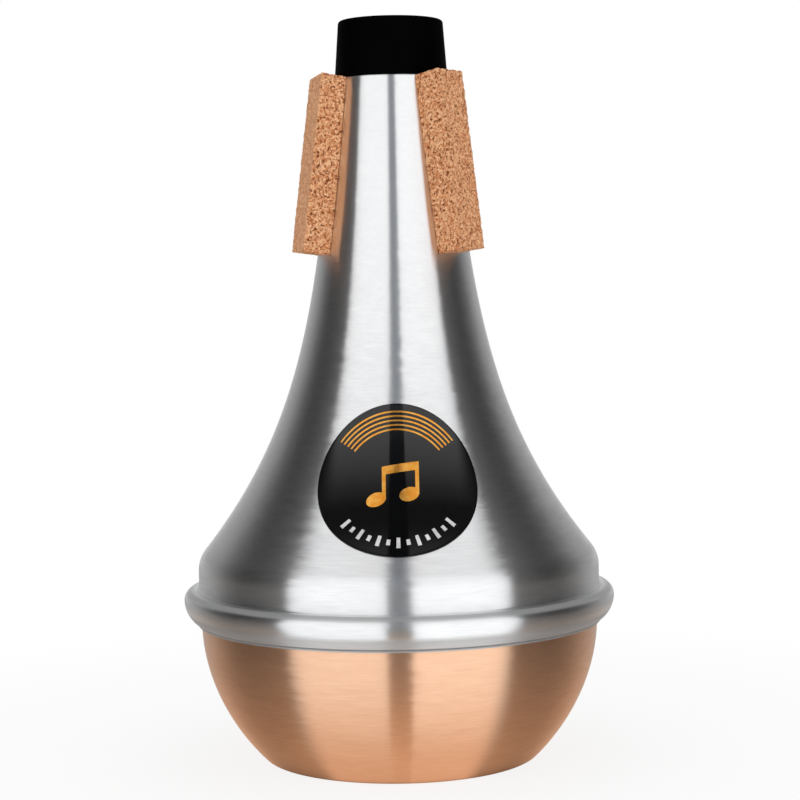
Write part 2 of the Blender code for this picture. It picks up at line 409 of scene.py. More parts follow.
def brushed_metal(name, tones, finest, coarsest, rough_heights, lined_heights, painted_shade_bands=()):
    """A metal brushed round the axis: it spreads a reflection up and down but hardly sideways. Of each
    four heights, the brushing is coarsest between the second and the third, and finest outside them."""
    metal = Finish(name, finest[0], 1.0)
    maths = metal.maths
    height = metal.parts(metal.spot)["Z"]

    def between(start, full, last, end):
        return maths("MULTIPLY", metal.ranged(height, start, full), metal.ranged(height, end, last))

    coarse = between(*rough_heights)
    lined = between(*lined_heights)
    lines = {
        "Along": metal.stored("along"),
        "Lean": metal.ranged(coarse, 0.0, 1.0, finest[1], coarsest[1]),
        "Lines per metre": BRUSH_LINES,
        "Streaks per turn": BRUSH_STREAKS,
        "Blotches": BLOTCHES,
    }
    brushing = metal.add("ShaderNodeGroup", lines, node_tree=ROUND_BRUSHING)
    contrast = metal.ranged(lined, 0.0, 1.0, finest[2], coarsest[2])
    tone = maths("ADD", maths("MULTIPLY", maths("SUBTRACT", brushing["Streaks"], 0.5), contrast), 0.5)
    colour = metal.blended(tone, *tones)
    patches = metal.ranged(brushing["Patches"], 0.3, 0.7, -PATCHES, PATCHES)
    rough = maths("ADD", metal.ranged(coarse, 0.0, 1.0, finest[0], coarsest[0]), patches)
    bare = 1.0
    # Painted shade: each band lays a matte colour over a share of the metal in the crease over the bead,
    # under the bead and over the lip
    for *heights, share, shade_colour, rougher in painted_shade_bands:
        here = between(*heights)
        painted_share = maths("MULTIPLY", here, share)
        colour = metal.blended(painted_share, colour, shade_colour)
        bare = maths("MULTIPLY", maths("SUBTRACT", 1.0, painted_share), bare)
        rough = maths("ADD", rough, maths("MULTIPLY", here, rougher))
    metal.dress({"Metallic": bare, "Base Color": colour, "Roughness": rough})
    metal.dress({"Normal": brushing["Normal"]})
    metal.spread_upright(1.0)
    return metal.material


lip_edge = COPPER_RADIUS + LIP_GAP - (BEAD_RADIUS - BEAD_LOWER)
lip = acos(lip_edge / (BEAD_LOWER - SHEET))
shoulder = arc((WALL_RADIUS - SHOULDER_FILLET, SHOULDER_HEIGHT), SHOULDER_FILLET, FLARE_ANGLE, 0.0, 16)
body_line = flare_line(90) + shoulder[1:] + bead_line(0.0, lip)
lip_top = body_line[-1]
lip_round = LIP_DROP / 4
lip_wall = lip_top[0] - COPPER_RADIUS - LIP_GAP
turned_lip = [(lip_top[0] - lip_round / 2, lip_top[1])]
for side, start in ((lip_round, 0.0), (lip_wall - lip_round, -pi / 2)):
    centre = (lip_top[0] - side, lip_top[1] - LIP_DROP + lip_round)
    turned_lip += arc(centre, lip_round, start, start - pi / 2, 3)
aluminium = brushed_metal(
    "brushed aluminium", (ALUMINIUM_DARK, ALUMINIUM_LIGHT), ALUMINIUM_FINEST, ALUMINIUM_COARSEST,
    COARSE_HEIGHTS, LINED_HEIGHTS, PAINTED_SHADE_BANDS,
)
body = turned_piece("spun_body", walled(body_line, SHEET, turned_lip), aluminium, radians(40))
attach(body, "mute_body")
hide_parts("aluminium_body")

# The copper bottom. A thinner copper disc spun into a bowl with a flat foot. Its own bead lies inside
# the aluminium bead, which is rolled over it and locks the two together.
COPPER_SHEET = 0.0006
COPPER_RIM = 0.0015
COPPER_SEAM_FILLET = 0.0005
BASE_RADIUS = 0.0308
BASE_CORNER = 0.0029
BOWL_ANGLE = radians(44.0)
BOWL_PULL_Z = 0.0150
BOWL_PULL = 0.0030
NEST = SHEET + 0.00012
COPPER_LIGHT = (0.99, 0.63, 0.425, 1.0)
COPPER_DARK = (0.89, 0.53, 0.345, 1.0)
COPPER_FINEST = (0.295, 0.05, 2.0)
COPPER_COARSEST = (0.32, 0.07, 3.0)
COPPER_COARSE_HEIGHTS = (0.002, 0.012, 0.024, 0.034)


def bottom_line():
    """The copper's outer line, from the rim inside the bead down to the middle of the foot."""
    reach = BEAD_LOWER - NEST + COPPER_SEAM_FILLET
    out = COPPER_RADIUS + COPPER_SEAM_FILLET - (BEAD_RADIUS - BEAD_LOWER)
    seam = atan2(sqrt(reach**2 - out**2), out)
    seam_height = BEAD_HEIGHT - reach * sin(seam)
    beaded = bead_line(NEST, seam)
    rim = (beaded[0][0], beaded[0][1] + COPPER_RIM)
    fillet = arc((COPPER_RADIUS + COPPER_SEAM_FILLET, seam_height), COPPER_SEAM_FILLET, pi - seam, pi, 6)
    corner = arc((BASE_RADIUS, BASE_CORNER), BASE_CORNER, BOWL_ANGLE - pi / 2, -pi / 2, 10)
    start = corner[0]
    pull = (start[0] + BOWL_PULL * cos(BOWL_ANGLE), start[1] + BOWL_PULL * sin(BOWL_ANGLE))
    bowl = bezier((fillet[-1], (COPPER_RADIUS, BOWL_PULL_Z), pull, start), 48)
    foot = [(radius, 0.0) for radius in np.linspace(BASE_RADIUS, 0.0, 26)]
    return [rim] + beaded + fillet[1:] + bowl[1:] + corner[1:] + foot[1:]


def bowl_profile(line, thickness):
    """A profile for a bowl: up its inner line from the axis, over its rim and down its outer line."""
    outer = np.array(line)
    inner = outer + thickness * along_and_inward(outer)[1]
    inner[-1] = (0.0, thickness)
    rim = (inner[0] + outer[0]) / 2
    return list(inner[::-1]) + [rim] + list(outer)


copper = brushed_metal(
    "brushed copper", (COPPER_DARK, COPPER_LIGHT), COPPER_FINEST, COPPER_COARSEST,
    COPPER_COARSE_HEIGHTS, COPPER_COARSE_HEIGHTS,
)
bottom = turned_piece("spun_bottom", bowl_profile(bottom_line(), COPPER_SHEET), copper, radians(40))
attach(bottom, "mute_body")
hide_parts("copper_bottom")

# The end ring. Moulded black rubber with a matte skin: a spigot grips the inside of the neck and the
# collar above it carries the neck's line on to the top.
RING_TOP_RADIUS = 0.01235
RING_EDGE = 0.0008
RING_BORE = 0.0095
SPIGOT_LENGTH = 0.0080
SPIGOT_LEAD = 0.0010
RING_SEAT = 0.0001
RING_INSET = 0.00015
RING_BREAK = 0.0002
RING_BORE_BREAK = 0.0003
RUBBER = (0.0003, 0.0003, 0.0003, 1.0)
RUBBER_WORN = (0.0009, 0.0009, 0.0009, 1.0)
ring_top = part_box("nose_ring")[1].z
ring_foot = NECK_TOP + RING_SEAT
spigot = NECK_RADIUS - SHEET / cos(NECK_TAPER) - RING_SEAT
ring_profile = arc((RING_TOP_RADIUS - RING_EDGE, ring_top - RING_EDGE), RING_EDGE, pi / 2, 0.0, 8)
ring_profile += [
    (NECK_RADIUS - RING_INSET, ring_foot + RING_BREAK),
    (NECK_RADIUS - 2 * RING_INSET, ring_foot),
    (spigot + RING_BREAK, ring_foot),
    (spigot, ring_foot - RING_BREAK),
    (spigot, ring_foot - SPIGOT_LENGTH + SPIGOT_LEAD),
    (spigot - SPIGOT_LEAD / 2, ring_foot - SPIGOT_LENGTH),
    (RING_BORE + RING_BORE_BREAK, ring_foot - SPIGOT_LENGTH),
    (RING_BORE, ring_foot - SPIGOT_LENGTH + RING_BORE_BREAK),
]
ring_profile += arc((RING_BORE + RING_EDGE, ring_top - RING_EDGE), RING_EDGE, pi, pi / 2, 6)
ring_profile += ring_profile[:1]


def rubber_finish():
    """Black rubber with a fine moulded grain, a little greyer where it has been rubbed."""
    rubber = Finish("matte black rubber", 0.62)
    rubbed = rubber.noise(140.0, 5.0)
    rubber.dress({
        "Base Color": rubber.blended(rubber.ranged(rubbed, 0.45, 0.8), RUBBER, RUBBER_WORN),
        "Roughness": rubber.ranged(rubbed, 0.3, 0.8, 0.58, 0.70),
        "Specular IOR Level": 0.02,
        "Normal": rubber.bumped(rubber.noise(2600.0, 3.0), 0.35, 0.00005),
    })
    return rubber.material


ring = turned_piece("end_ring_rubber", ring_profile, rubber_finish(), radians(50))
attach(ring, "end_ring")
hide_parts("nose_ring")

# The corks. Three strips of fine agglomerated cork, sawn square and sanded on the outside, are glued
# up the neck and grip the inside of the bell. Their backs are hollowed to the neck's curve.
CORK_LENGTH = 0.0413
CORK_WIDTH = 0.0088
CORK_DROP = 0.0128
CORK_THICK_TOP = 0.0054
CORK_THICK_FOOT = 0.0061
CORK_ROUNDING = 0.00022
CORK_SEAT = 0.00007
CORK_STEP = 0.00022
CORK_REACH = 0.012
# How far in from an edge it crumbles, from the neck the cement holds it, and from its face dust clings
CORK_EDGE = 0.0009
CORK_HELD = 0.0003
CORK_SANDED = 0.00015
# Each cork's azimuth from the front and lean, and how much longer or shorter its top was cut at its
# outer corners and at its inner corners, first on the clockwise side as seen from above, how much
# thicker than the others it was left at its top and at its foot, and how dusty its outer face is
CORKS = {
    "right": (radians(46.5), radians(-2.0), ((0.0005, 0.0), (0.0002, 0.0)), (0.0005, 0.0002), 0.3),
    "left": (radians(-69.5), 0.0, ((-0.0007, 0.0003), (0.0, 0.0002)), (0.0, 0.0), 1.0),
    "rear": (radians(168.5), 0.0, ((0.0001, -0.0003), (0.0, 0.0)), (0.0, 0.0), 0.6),
}
CORK_PALE = (1.0, 0.57, 0.31, 1.0)
CORK_TAN = (0.70, 0.275, 0.112, 1.0)
CORK_BROWN = (0.40, 0.112, 0.034, 1.0)
CORK_PIT = (0.22, 0.055, 0.013, 1.0)
CORK_DUST = (0.66, 0.36, 0.20, 1.0)

surface = np.array(flare_line(240) + shoulder[1:])
surface_lengths = np.append(0.0, np.cumsum(np.hypot(*np.diff(surface, axis=0).T)))


def surface_radius(height):
    """The body's outer radius at one height or many, carried straight on above the neck."""
    above = np.maximum(np.asarray(height) - NECK_TOP, 0.0)
    return np.interp(-np.asarray(height), -surface[:, 1], surface[:, 0]) - above * tan(NECK_TAPER)


def cork_tree():
    """Node tree for a sawn cork face: granules that stand a little proud, pits between them, and
    crumbled edges."""
    sizes = dict.fromkeys(("Granule", "Relief", "Pit", "Pit depth", "Pit share", "Crumble"), "Float")
    nodes, given = new_group(
        "sawn cork", "GeometryNodeTree",
        {"Block": "Geometry", **sizes, "Finish": "Material"},
        {"Cork": "Geometry"},
    )
    add = nodes.add
    maths = nodes.maths

    def noise(size, detail):
        return add("ShaderNodeTexNoise", {"Scale": size, "Detail": detail})["Fac"]

    granules = noise(maths("DIVIDE", 1.0, given["Granule"]), 2.0)
    pits = add("ShaderNodeTexVoronoi", {"Scale": maths("DIVIDE", 1.0, given["Pit"])})
    is_pit = maths("LESS_THAN", nodes.parts(pits["Color"])["X"], given["Pit share"])
    near_rim = maths("MINIMUM", maths("MULTIPLY", pits["Distance"], 1.8), 1.0)
    hollow = maths("MULTIPLY", is_pit, maths("SUBTRACT", 1.0, near_rim))
    raised = maths("MULTIPLY", maths("SUBTRACT", granules, 0.5), given["Relief"])
    chips = noise(maths("DIVIDE", 0.6, given["Granule"]), 3.0)
    lost = maths("MAXIMUM", maths("SUBTRACT", chips, 0.42), 0.0)
    crumbled = maths("MULTIPLY", maths("MULTIPLY", lost, stored_value(nodes, "edge")), given["Crumble"])
    sunk = maths("ADD", maths("MULTIPLY", hollow, given["Pit depth"]), crumbled)
    relief = maths("MULTIPLY", maths("SUBTRACT", raised, sunk), stored_value(nodes, "free"))
    offset = nodes.scaled(add("GeometryNodeInputNormal", {})[0], relief)
    moved = add("GeometryNodeSetPosition", {"Geometry": given["Block"], "Offset": offset})
    give_out(nodes, moved[0], given["Finish"])
    return nodes.tree


def cork_finish():
    """Granules in several tans, dark bark between them and a brown pit here and there."""
    cork = Finish("agglomerated cork", 0.88)
    shade = cork.parts(cork.texture("ShaderNodeTexVoronoi", Scale=2000.0)["Color"])["X"]
    colour = cork.blended(cork.ranged(shade, 0.15, 0.85), CORK_TAN, CORK_PALE)
    colour = cork.blended(cork.ranged(cork.noise(1900.0, 2.0), 0.52, 0.68), colour, CORK_BROWN)
    colour = cork.blended(cork.ranged(cork.noise(1600.0, 1.0), 0.60, 0.65), colour, CORK_PIT)
    dusted = cork.ranged(cork.stored("sanded"), 0.0, 1.0, 0.0, 0.5)
    cork.dress({
        "Base Color": cork.blended(dusted, colour, CORK_DUST),
        "Specular IOR Level": 0.2,
        "Normal": cork.bumped(cork.noise(2200.0, 2.0), 0.6, 0.00012),
    })
    return cork.material


def cork_block(name, azimuth, lean, cuts, proud, dusty):
    """The block as a fine cage: flat faces, rounded outer edges and a back that fits the neck."""
    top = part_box("nose_ring")[1].z - CORK_DROP
    foot = top - CORK_LENGTH
    top_radius = float(surface_radius(top)) + CORK_THICK_TOP + proud[0]
    foot_radius = float(surface_radius(foot)) + CORK_THICK_FOOT + proud[1]
    middle = np.array([0.0, -(top_radius + foot_radius) / 2, (top + foot) / 2])
    tilt = atan2(foot_radius - top_radius, CORK_LENGTH)
    turn = np.array(Euler((-tilt, lean, 0.0), "YXZ").to_matrix())
    counts = [round(size / CORK_STEP) for size in (CORK_WIDTH, CORK_THICK_FOOT, CORK_LENGTH)]

    corners = {}
    faces = []
    for axis in range(3):
        first, second = [a for a in range(3) if a != axis]
        for side in (0, counts[axis]):
            for i in range(counts[first]):
                for j in range(counts[second]):
                    ring = []
                    for step in ((0, 0), (1, 0), (1, 1), (0, 1)):
                        key = [0, 0, 0]
                        key[axis] = side
                        key[first] = i + step[0]
                        key[second] = j + step[1]
                        ring.append(corners.setdefault(tuple(key), len(corners)))
                    faces.append(ring)
    share = np.array(list(corners), dtype=float) / counts
    across = (share[:, 0] - 0.5) * CORK_WIDTH
    along = (share[:, 2] - 0.5) * CORK_LENGTH

    # The depth at which a line straight in from the outer face meets the cement on the neck
    near = np.zeros(len(share))
    far = np.full(len(share), CORK_REACH)
    for _ in range(30):
        depth = (near + far) / 2
        place = np.stack([across, depth, along], axis=1) @ turn.T + middle
        outside = np.hypot(place[:, 0], place[:, 1]) > surface_radius(place[:, 2]) + CORK_SEAT
        near = np.where(outside, depth, near)
        far = np.where(outside, far, depth)
    depth = near * share[:, 1]

    local = np.stack([across, depth, along], axis=1)
    low = np.array([-CORK_WIDTH / 2 + CORK_ROUNDING, CORK_ROUNDING, -CORK_LENGTH / 2 + CORK_ROUNDING])
    high = np.array([CORK_WIDTH / 2 - CORK_ROUNDING, 1.0, CORK_LENGTH / 2 - CORK_ROUNDING])
    core = np.clip(local, low, high)
    away = local - core
    reach = np.maximum(np.linalg.norm(away, axis=1), 1e-9)[:, None]
    local = core + away / reach * np.minimum(reach, CORK_ROUNDING)
    outer, inner = cuts
    cut_outer = outer[0] + (outer[1] - outer[0]) * share[:, 0]
    cut_inner = inner[0] + (inner[1] - inner[0]) * share[:, 0]
    cut = cut_outer + (cut_inner - cut_outer) * share[:, 1]
    local[:, 2] += cut * np.clip((share[:, 2] - 0.8) / 0.2, 0.0, 1.0)
    place = local @ turn.T + middle
    spin = np.array(Euler((0.0, 0.0, azimuth)).to_matrix())
    place = place @ spin.T

    mesh = bpy.data.meshes.new(name + "_block")
    mesh.from_pydata(place.tolist(), [], faces)
    at_side = np.minimum(share[:, 0], 1 - share[:, 0]) * CORK_WIDTH
    at_end = np.minimum(share[:, 2], 1 - share[:, 2]) * CORK_LENGTH
    nearest = np.sort(np.stack([at_side, at_end, depth], axis=1), axis=1)[:, 1]
    store(mesh, "edge", np.clip(1.0 - nearest / CORK_EDGE, 0.0, 1.0))
    store(mesh, "free", np.clip((near - depth) / CORK_HELD, 0.0, 1.0))
    store(mesh, "sanded", dusty * np.clip(1.0 - depth / CORK_SANDED, 0.0, 1.0))
    bm = bmesh.new()
    bm.from_mesh(mesh)
    bmesh.ops.recalc_face_normals(bm, faces=bm.faces)
    bm.to_mesh(mesh)
    bm.free()
    mesh.shade_smooth()
    return mesh


sawn_cork = cork_tree()
cork_skin = cork_finish()
for side, cut_to in CORKS.items():
    block = cork_block("cork_" + side, *cut_to)
    values = {
        "Granule": 0.0007,
        "Relief": 0.00030,
        "Pit": 0.0010,
        "Pit depth": 0.00018,
        "Pit share": 0.28,
        "Crumble": 0.0007,
        "Finish": cork_skin,
    }
    cork = made_by(sawn_cork, "cork_strip_" + side, block, values)
    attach(cork, "mute_body")
    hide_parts("cork_" + side)

# The cement. Each cork is stuck on with brown contact cement, which is pressed out past its edges in
# an uneven bead.
CEMENT_SPREAD = 0.00020
CEMENT_THICKNESS = 0.00007
CEMENT_LOW = 0.0003
# How far in from the film's outline each of its rings lies, and at what share of its thickness
CEMENT_RINGS = ((0.0, 0.1), (0.0, 0.5), (0.0001, 0.9), (0.0012, 1.0), (0.0012, 0.1))
CEMENT_BROWN = (0.24, 0.092, 0.035, 1.0)
CEMENT_AMBER = (0.44, 0.195, 0.075, 1.0)


def on_surface(length):
    """Radius, height and outward normal at a length along the body from the neck's top."""
    step = 0.0003
    near = (length - step, length, length + step)
    radii, heights = (np.interp(near, surface_lengths, line) for line in surface.T)
    normal = Vector((heights[0] - heights[2], radii[2] - radii[0])).normalized()
    return float(radii[1]), float(heights[1]), normal


def wrapped(flat, azimuth, height, lean, lift):
    """Where a point of a flat sheet lies once the sheet is wrapped round the body, rolled on the
    cone that touches the body at the sheet's centre."""
    across = flat[0] * cos(lean) + flat[1] * sin(lean)
    up = flat[1] * cos(lean) - flat[0] * sin(lean)
    centre = float(np.interp(-height, -surface[:, 1], surface_lengths))
    radius, _, normal = on_surface(centre)
    apex = radius / normal[1]
    reach = hypot(across, apex - up)
    radius, z, normal = on_surface(centre + reach - apex)
    angle = azimuth + reach * atan2(across, apex - up) / radius
    out = radius + lift * normal[0]
    return Vector((out * sin(angle), -out * cos(angle), z + lift * normal[1]))


def fill_rows(bm, rows, closed):
    """Faces between each row of corners and the next. A closed row's last corner meets its first."""
    for low, high in zip(rows, rows[1:]):
        for i in range(len(low) if closed else len(low) - 1):
            j = (i + 1) % len(low)
            bm.faces.new((low[i], low[j], high[j], high[i]))


def mesh_of(name, bm):
    """The finished mesh of a bmesh, which is let go."""
    mesh = bpy.data.meshes.new(name)
    bm.to_mesh(mesh)
    bm.free()
    return mesh


def skin(name, rings, finish, capped):
    """A smooth closed piece over rings of spots: a face over each end, or the ends joined."""
    bm = bmesh.new()
    rings = [[bm.verts.new(spot) for spot in ring] for ring in rings]
    if capped:
        bm.faces.new(rings[0])
        bm.faces.new(rings[-1])
    fill_rows(bm, rings if capped else rings + rings[:1], True)
    bmesh.ops.recalc_face_normals(bm, faces=bm.faces)
    mesh = mesh_of(name, bm)
    mesh.shade_smooth()
    mesh.materials.append(finish)
    return placed(name, mesh)


def cement_film(name, azimuth, lean, seed):
    """A domed film whose outline wanders a little outside the cork's."""
    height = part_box("nose_ring")[1].z - CORK_DROP - CORK_LENGTH / 2 - CEMENT_LOW
    noise = np.random.default_rng(seed)
    count = 200
    angles = np.linspace(0.0, 2 * pi, count, endpoint=False)
    wander = np.zeros(count)
    for wave in range(3, 30):
        wander += noise.normal() / wave**0.6 * np.cos(wave * angles + noise.uniform(0, 2 * pi))
    wander = CEMENT_SPREAD * (0.3 + 0.45 * wander / wander.std())
    half = np.array((CORK_WIDTH / 2, CORK_LENGTH / 2))
    turn = np.stack([np.cos(angles), np.sin(angles)], axis=1)
    outline = np.sign(turn) * np.abs(turn) ** 0.12 * (half + wander[:, None])
    rings = []
    for inset, share in CEMENT_RINGS:
        spots = outline * (1 - inset / half)
        rings.append([wrapped(spot, azimuth, height, lean, share * CEMENT_THICKNESS) for spot in spots])
    return skin(name, rings, cement.material, False)


# Brown where it is thick and amber where it is thin, and shiny in spots
cement = Finish("brown contact cement", 0.35)
cement.cloud((900.0, 3.0), (CEMENT_BROWN, CEMENT_AMBER), (0.25, 0.5), (0.4, 0.00005))
for seed, (side, (azimuth, lean, *_)) in enumerate(CORKS.items()):
    film = cement_film("cement_" + side, azimuth, lean, seed)
    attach(film, "mute_body")
    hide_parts("cork_cement_" + side)

# The label. A disc of gloss black vinyl, printed in gold foil and white ink, and stuck on the front
# of the flare. Its print is plain: staff lines, a pair of beamed notes and a row of ticks.
LABEL_RADIUS = 0.0186
LABEL_HEIGHT = 0.0685
LABEL_THICKNESS = 0.00015
LABEL_SEAT = 0.00001
LABEL_EDGE = 0.00004
FOIL_THICKNESS = 0.00002
FOIL_SINK = 0.000005
FOIL_STEP = 0.0008
FOIL_WELD = 0.000001
STAFF_RADIUS = 0.0123
STAFF_PITCH = 0.00105
STAFF_LINE = 0.00040
STAFF_HALF = radians(50)
NOTE_HEAD = (0.0023, 0.00165)
NOTE_TIP = radians(24.0)
NOTE_SPAN = 0.0074
NOTE_SLANT = radians(9.0)
NOTE_FOOT = -0.0042
NOTE_STEM = 0.0080
NOTE_LINE = 0.00085
NOTE_SHORT = 0.0002
NOTE_BEAM = 0.0020
TICK_RADIUS = 0.0150
TICK_PITCH = radians(8.5)
TICK_HALF_LONG = 0.0013
TICK_HALF_SHORT = 0.0007
TICK_HALF_WIDTH = 0.028
VINYL_BLACK = (0.0008, 0.0008, 0.0009, 1.0)
VINYL_GREY = (0.0020, 0.0020, 0.0022, 1.0)
GOLD_DEEP = (0.95, 0.36, 0.040, 1.0)
GOLD_BRIGHT = (1.0, 0.52, 0.11, 1.0)
WHITE_INK = (0.90, 0.90, 0.90, 1.0)
WHITE_INK_THIN = (0.76, 0.76, 0.77, 1.0)


def laid_label():
    """The disc as rings of corners, with a rounded cut edge, all wrapped on the flare."""
    rings = [(LABEL_RADIUS * share, LABEL_THICKNESS) for share in np.linspace(0.025, 0.99, 40)]
    rings += [(LABEL_RADIUS - LABEL_EDGE, LABEL_THICKNESS * 0.9)]
    rings += [(LABEL_RADIUS, LABEL_THICKNESS * 0.55), (LABEL_RADIUS, LABEL_SEAT)]
    rings += [(LABEL_RADIUS * share, LABEL_SEAT) for share in np.linspace(0.97, 0.025, 30)]
    turns = np.linspace(0, 2 * pi, 128, endpoint=False)
    laid = [
        [wrapped((radius * sin(a), radius * cos(a)), 0.0, LABEL_HEIGHT, 0.0, lift) for a in turns]
        for radius, lift in rings
    ]
    return skin("vinyl_label", laid, vinyl_finish(), True)


def printed(name, outlines, finish):
    """Foil shapes from flat outlines, joined where they overlap, cut small enough to follow the
    flare, and given a thickness."""
    spots = [Vector(spot) for outline in outlines for spot in outline]
    ends = np.cumsum([0] + [len(outline) for outline in outlines])
    rings = [list(range(start, end)) for start, end in zip(ends, ends[1:])]
    corners, _, triangles, *_ = delaunay_2d_cdt(spots, [], rings, 1, FOIL_WELD)
    bm = bmesh.new()
    verts = [bm.verts.new((x, y, 0.0)) for x, y in corners]
    for triangle in triangles:
        bm.faces.new([verts[i] for i in triangle])
    for axis in ((1, 0, 0), (0, 1, 0)):
        for cut in np.arange(-LABEL_RADIUS, LABEL_RADIUS, FOIL_STEP):
            parts = bm.verts[:] + bm.edges[:] + bm.faces[:]
            bmesh.ops.bisect_plane(bm, geom=parts, plane_co=Vector(axis) * cut, plane_no=axis)
    for vert in bm.verts:
        vert.co = wrapped(vert.co, 0.0, LABEL_HEIGHT, 0.0, LABEL_THICKNESS - FOIL_SINK)
    bmesh.ops.recalc_face_normals(bm, faces=bm.faces)
    mesh = mesh_of(name, bm)
    mesh.materials.append(finish)
    foil = placed(name, mesh)
    thickening = foil.modifiers.new("Thickness", "SOLIDIFY")
    thickening.thickness = FOIL_THICKNESS
    thickening.offset = 1.0
    return foil


def arc_band(inner, outer, start, end, steps=40):
    """A band between two radii, with angles clockwise from the top."""
    angles = np.linspace(start, end, steps)
    outside = [(outer * sin(a), outer * cos(a)) for a in angles]
    return outside + [(inner * sin(a), inner * cos(a)) for a in angles[::-1]]


def note_head(centre):
    """An oval with its long side tipped up to the right."""
    angles = np.linspace(0, 2 * pi, 40, endpoint=False)
    half_long, half_short = NOTE_HEAD
    return [
        (
            centre[0] + half_long * cos(NOTE_TIP) * cos(a) - half_short * sin(NOTE_TIP) * sin(a),
            centre[1] + half_long * sin(NOTE_TIP) * cos(a) + half_short * cos(NOTE_TIP) * sin(a),
        )
        for a in angles
    ]


def beamed_notes():
    """Two note heads, their stems and the slanted beam that joins them."""
    widest = hypot(NOTE_HEAD[0] * cos(NOTE_TIP), NOTE_HEAD[1] * sin(NOTE_TIP))
    rise = NOTE_SPAN * tan(NOTE_SLANT)
    shapes = []
    tops = []
    for head in (0, 1):
        x = (head - 0.5) * NOTE_SPAN - widest / 2
        y = NOTE_FOOT + head * rise
        left = x + widest - NOTE_LINE
        right = x + widest
        top = y + NOTE_STEM
        shapes.append(note_head((x, y)))
        inside = top - NOTE_SHORT
        shapes.append([(left, y), (right, y), (right, inside), (left, inside)])
        tops.append((right, top))
    (left, left_top), (right, right_top) = tops
    left -= NOTE_LINE
    left_top -= NOTE_LINE * tan(NOTE_SLANT)
    under = [(left, left_top - NOTE_BEAM), (right, right_top - NOTE_BEAM)]
    return shapes + [under + [(right, right_top), (left, left_top)]]


def print_finish(name, tones, roughness, metallic):
    """A print with a faint orange-peel grain from the vinyl under it: hot foil or opaque ink."""
    ink = Finish(name, roughness, metallic)
    ink.cloud((700.0, 4.0), tones, (roughness, roughness + 0.06), (0.25, 0.00002))
    ink.spread_upright(0.9)
    return ink.material


def vinyl_finish():
    """Black vinyl with a faint orange peel in its gloss."""
    vinyl = Finish("gloss black vinyl", 0.06)
    peel = vinyl.noise(420.0, 2.0)
    vinyl.dress({
        "Base Color": vinyl.blended(peel, VINYL_BLACK, VINYL_GREY),
        "Roughness": vinyl.ranged(peel, 0.3, 0.7, 0.05, 0.08),
        "Normal": vinyl.bumped(peel, 0.15, 0.00002),
    })
    return vinyl.material


label = laid_label()
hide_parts("round_label")
staff = []
for row in range(5):
    inner = STAFF_RADIUS + row * STAFF_PITCH
    staff.append(arc_band(inner, inner + STAFF_LINE, -STAFF_HALF, STAFF_HALF))
gold_foil = print_finish("gold foil", (GOLD_DEEP, GOLD_BRIGHT), 0.30, 1.0)
gold = printed("label_gold_foil", staff + beamed_notes(), gold_foil)
ticks = []
for step in range(-6, 7):
    reach = TICK_HALF_LONG if step % 2 == 0 else TICK_HALF_SHORT
    turn = pi + step * TICK_PITCH
    sides = (turn - TICK_HALF_WIDTH, turn + TICK_HALF_WIDTH)
    ticks.append(arc_band(TICK_RADIUS - reach, TICK_RADIUS + reach, *sides, 4))
white_ink = print_finish("white ink", (WHITE_INK_THIN, WHITE_INK), 0.35, 0.4)
white = printed("label_white_print", ticks, white_ink)
for piece in (label, gold, white):
    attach(piece, "mute_body")

# The studio. A pale floor in front of an even white background, and two tall softboxes either side of
# the camera with a narrow gap between them. Dark cards beyond them draw the metal's dark bands. Sheets
# on the floor that only reflections see carry a painted reflection of the floor's light and shade, where
# the lower half of the mute mirrors the floor.
CAMERA_DISTANCE = 0.50487
CAMERA_HEIGHT = 0.11427
STUDIO_RADIUS = 1.6
STUDIO_CENTRE = Vector((0.0, 0.0, 0.070))
FLOOR_CARD_HEIGHT = 0.0001
BOWL_TOP = 0.034
FLOOR_RADIUS = 6.0
AMBIENT = 0.60
# How far out the floor turns white, and how white it is before that
FLOOR_FADE = (0.05, 0.20)
FLOOR_WHITE = 0.85
# Each softbox's brightness, by itself and where the floor mirrors it
LEFT_SOFTBOX = (1.0, 1.0)
RIGHT_SOFTBOX = (1.01, 1.09)
# The azimuths at which the cards end, in degrees, and the tilts over which they stand
GAP_EDGE = 3.3
SOFTBOX_EDGE = 32.4
DARK_EDGE = 88.0
SOFTBOX_TILTS = (-3.0, 115.0)
DARK_TILTS = (-4.0, 150.0)
# The heights on the mute at which the rows of the painted floor reflection are mirrored
FLOOR_ROWS = (0.0002, 0.0006, 0.0012, 0.0020, *np.linspace(0.003, 0.033, 25), 0.042, 0.055, 0.080)
# The dark cards' level by azimuth. The other levels go by the tilt of a mirrored direction above the
# floor, or by the height on the bowl at which the floor is mirrored
DARK_BY_SIDE = (
    (33.0, 0.100), (38.0, 0.070), (44.0, 0.043), (50.0, 0.047),
    (56.0, 0.10), (66.0, 0.27), (86.0, 0.45),
)
DARK_BY_TILT = (
    (-4.0, -0.04), (5.0, -0.04), (12.0, 0.0), (30.0, -0.01),
    (70.0, 0.03), (88.0, 0.04), (105.0, 0.11), (150.0, 0.16),
)
# The levels by height paint the light and shade of the floor that the bowl mirrors: they fall near the
# foot as painted contact shadow
DARK_BY_HEIGHT = (
    (0.0, 0.05), (0.0006, 0.15), (0.0012, 0.25), (0.0035, 0.34), (0.006, 0.39), (0.012, 0.36),
    (0.022, 0.27), (0.030, 0.19), (0.033, 0.11), (0.042, -0.01), (0.080, -0.03),
)
SOFTBOX_BY_TILT = (
    (-3.0, 1.10), (24.0, 1.12), (32.0, 1.32), (41.0, 1.32), (46.0, 0.95), (51.0, 0.42), (55.0, 0.12),
    (60.0, 0.12), (65.0, 0.60), (70.0, 1.20), (115.0, 0.95),
)
SOFTBOX_BY_HEIGHT = (
    (0.0, 0.25), (0.0006, 0.50), (0.0012, 0.74), (0.006, 0.76), (0.012, 0.75),
    (0.020, 0.98), (0.033, 1.16), (0.080, 1.10),
)
